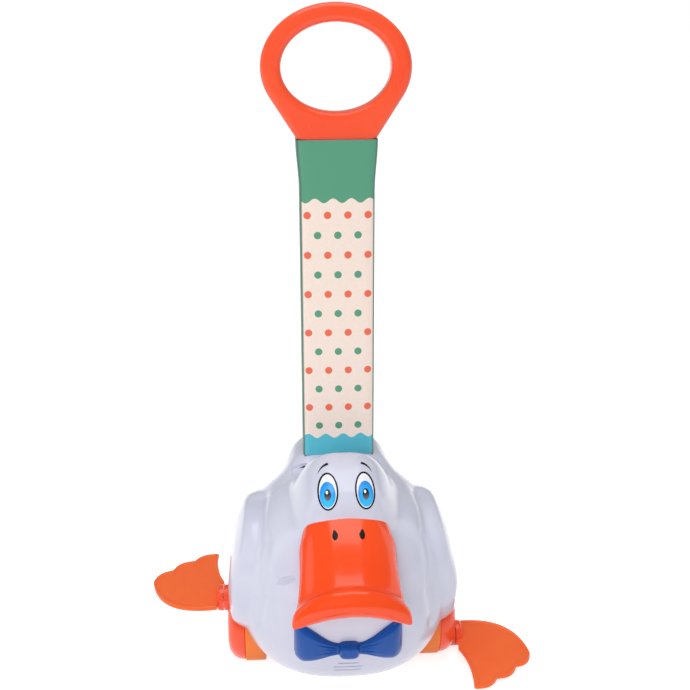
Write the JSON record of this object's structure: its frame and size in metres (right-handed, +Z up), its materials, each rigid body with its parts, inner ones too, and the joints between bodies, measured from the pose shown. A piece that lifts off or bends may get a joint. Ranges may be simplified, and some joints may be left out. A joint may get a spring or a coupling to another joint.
{
  "type": "duck push toy",
  "caption": "Hollow plastic duck on wheels with flapping feet, a broad bill and a bow tie, pushed along by a telescopic stem with a ring grip.",
  "frame": {"origin": "on the floor, at the middle of the toy's footprint box", "axes": "+Z up, the duck looks along -Y, its own left side is +X"},
  "size_m": [0.2814, 0.2056, 0.4709],
  "materials": {
    "body_white": "glossy moulded plastic",
    "bill_orange": "glossy moulded plastic",
    "foot_orange": "soft matte plastic",
    "tyre_amber": "matte rubber",
    "bow_blue": "glossy moulded plastic",
    "card_print": "printed card",
    "bearing_cream": "satin bearing plastic",
    "steel": "zinc plated"
  },
  "bodies": {
    "duck_body": {"body_front_shell": "body_white", "body_rear_shell": "body_white", "bill": "bill_orange", "bow_tie": "bow_blue", "shell_screws": "steel", "bill_screws": "steel", "bow_tie_screw": "steel", "left_axle_bush": "bearing_cream", "right_axle_bush": "bearing_cream", "click_tongue": "bearing_cream", "tongue_screw": "steel", "heel_glide": "body_white", "handle_lower_tube": "bill_orange", "tube_end_ring": "body_white", "socket_screws": "steel", "guide_pin": "steel", "card_sleeve": "card_print"},
    "handle_upper": {"grip_front_half": "bill_orange", "grip_rear_half": "bill_orange", "grip_screws": "steel"},
    "wheel_set": {"axle": "steel", "click_wheel": "tyre_amber", "left_wheel_hub": "bill_orange", "right_wheel_hub": "bill_orange", "left_tyre": "tyre_amber", "right_tyre": "tyre_amber", "left_foot_pin": "steel", "right_foot_pin": "steel"},
    "left_foot": {"left_foot": "foot_orange"},
    "right_foot": {"right_foot": "foot_orange"}
  },
  "joints": [
    {"name": "axle_spin", "type": "hinge", "parent": "duck_body", "child": "wheel_set", "pos_m": [0, 0.01525, 0.03], "axis": [1, 0, 0], "continuous": true, "deforming": ["click_tongue"]},
    {"name": "left_foot_flap", "type": "hinge", "parent": "wheel_set", "child": "left_foot", "pos_m": [0.0894, 0.01525, 0.0105], "axis": [1, 0, 0], "range_deg": [-60, 60], "stiffness_Nm_per_rad": 0.15},
    {"name": "right_foot_flap", "type": "hinge", "parent": "wheel_set", "child": "right_foot", "pos_m": [-0.0894, 0.01525, 0.0495], "axis": [1, 0, 0], "range_deg": [-60, 60], "stiffness_Nm_per_rad": 0.15},
    {"name": "handle_extend", "type": "slide", "parent": "duck_body", "child": "handle_upper", "axis": [0, 0.0698, 0.9976], "range_m": [0, 0.12]}
  ]
}
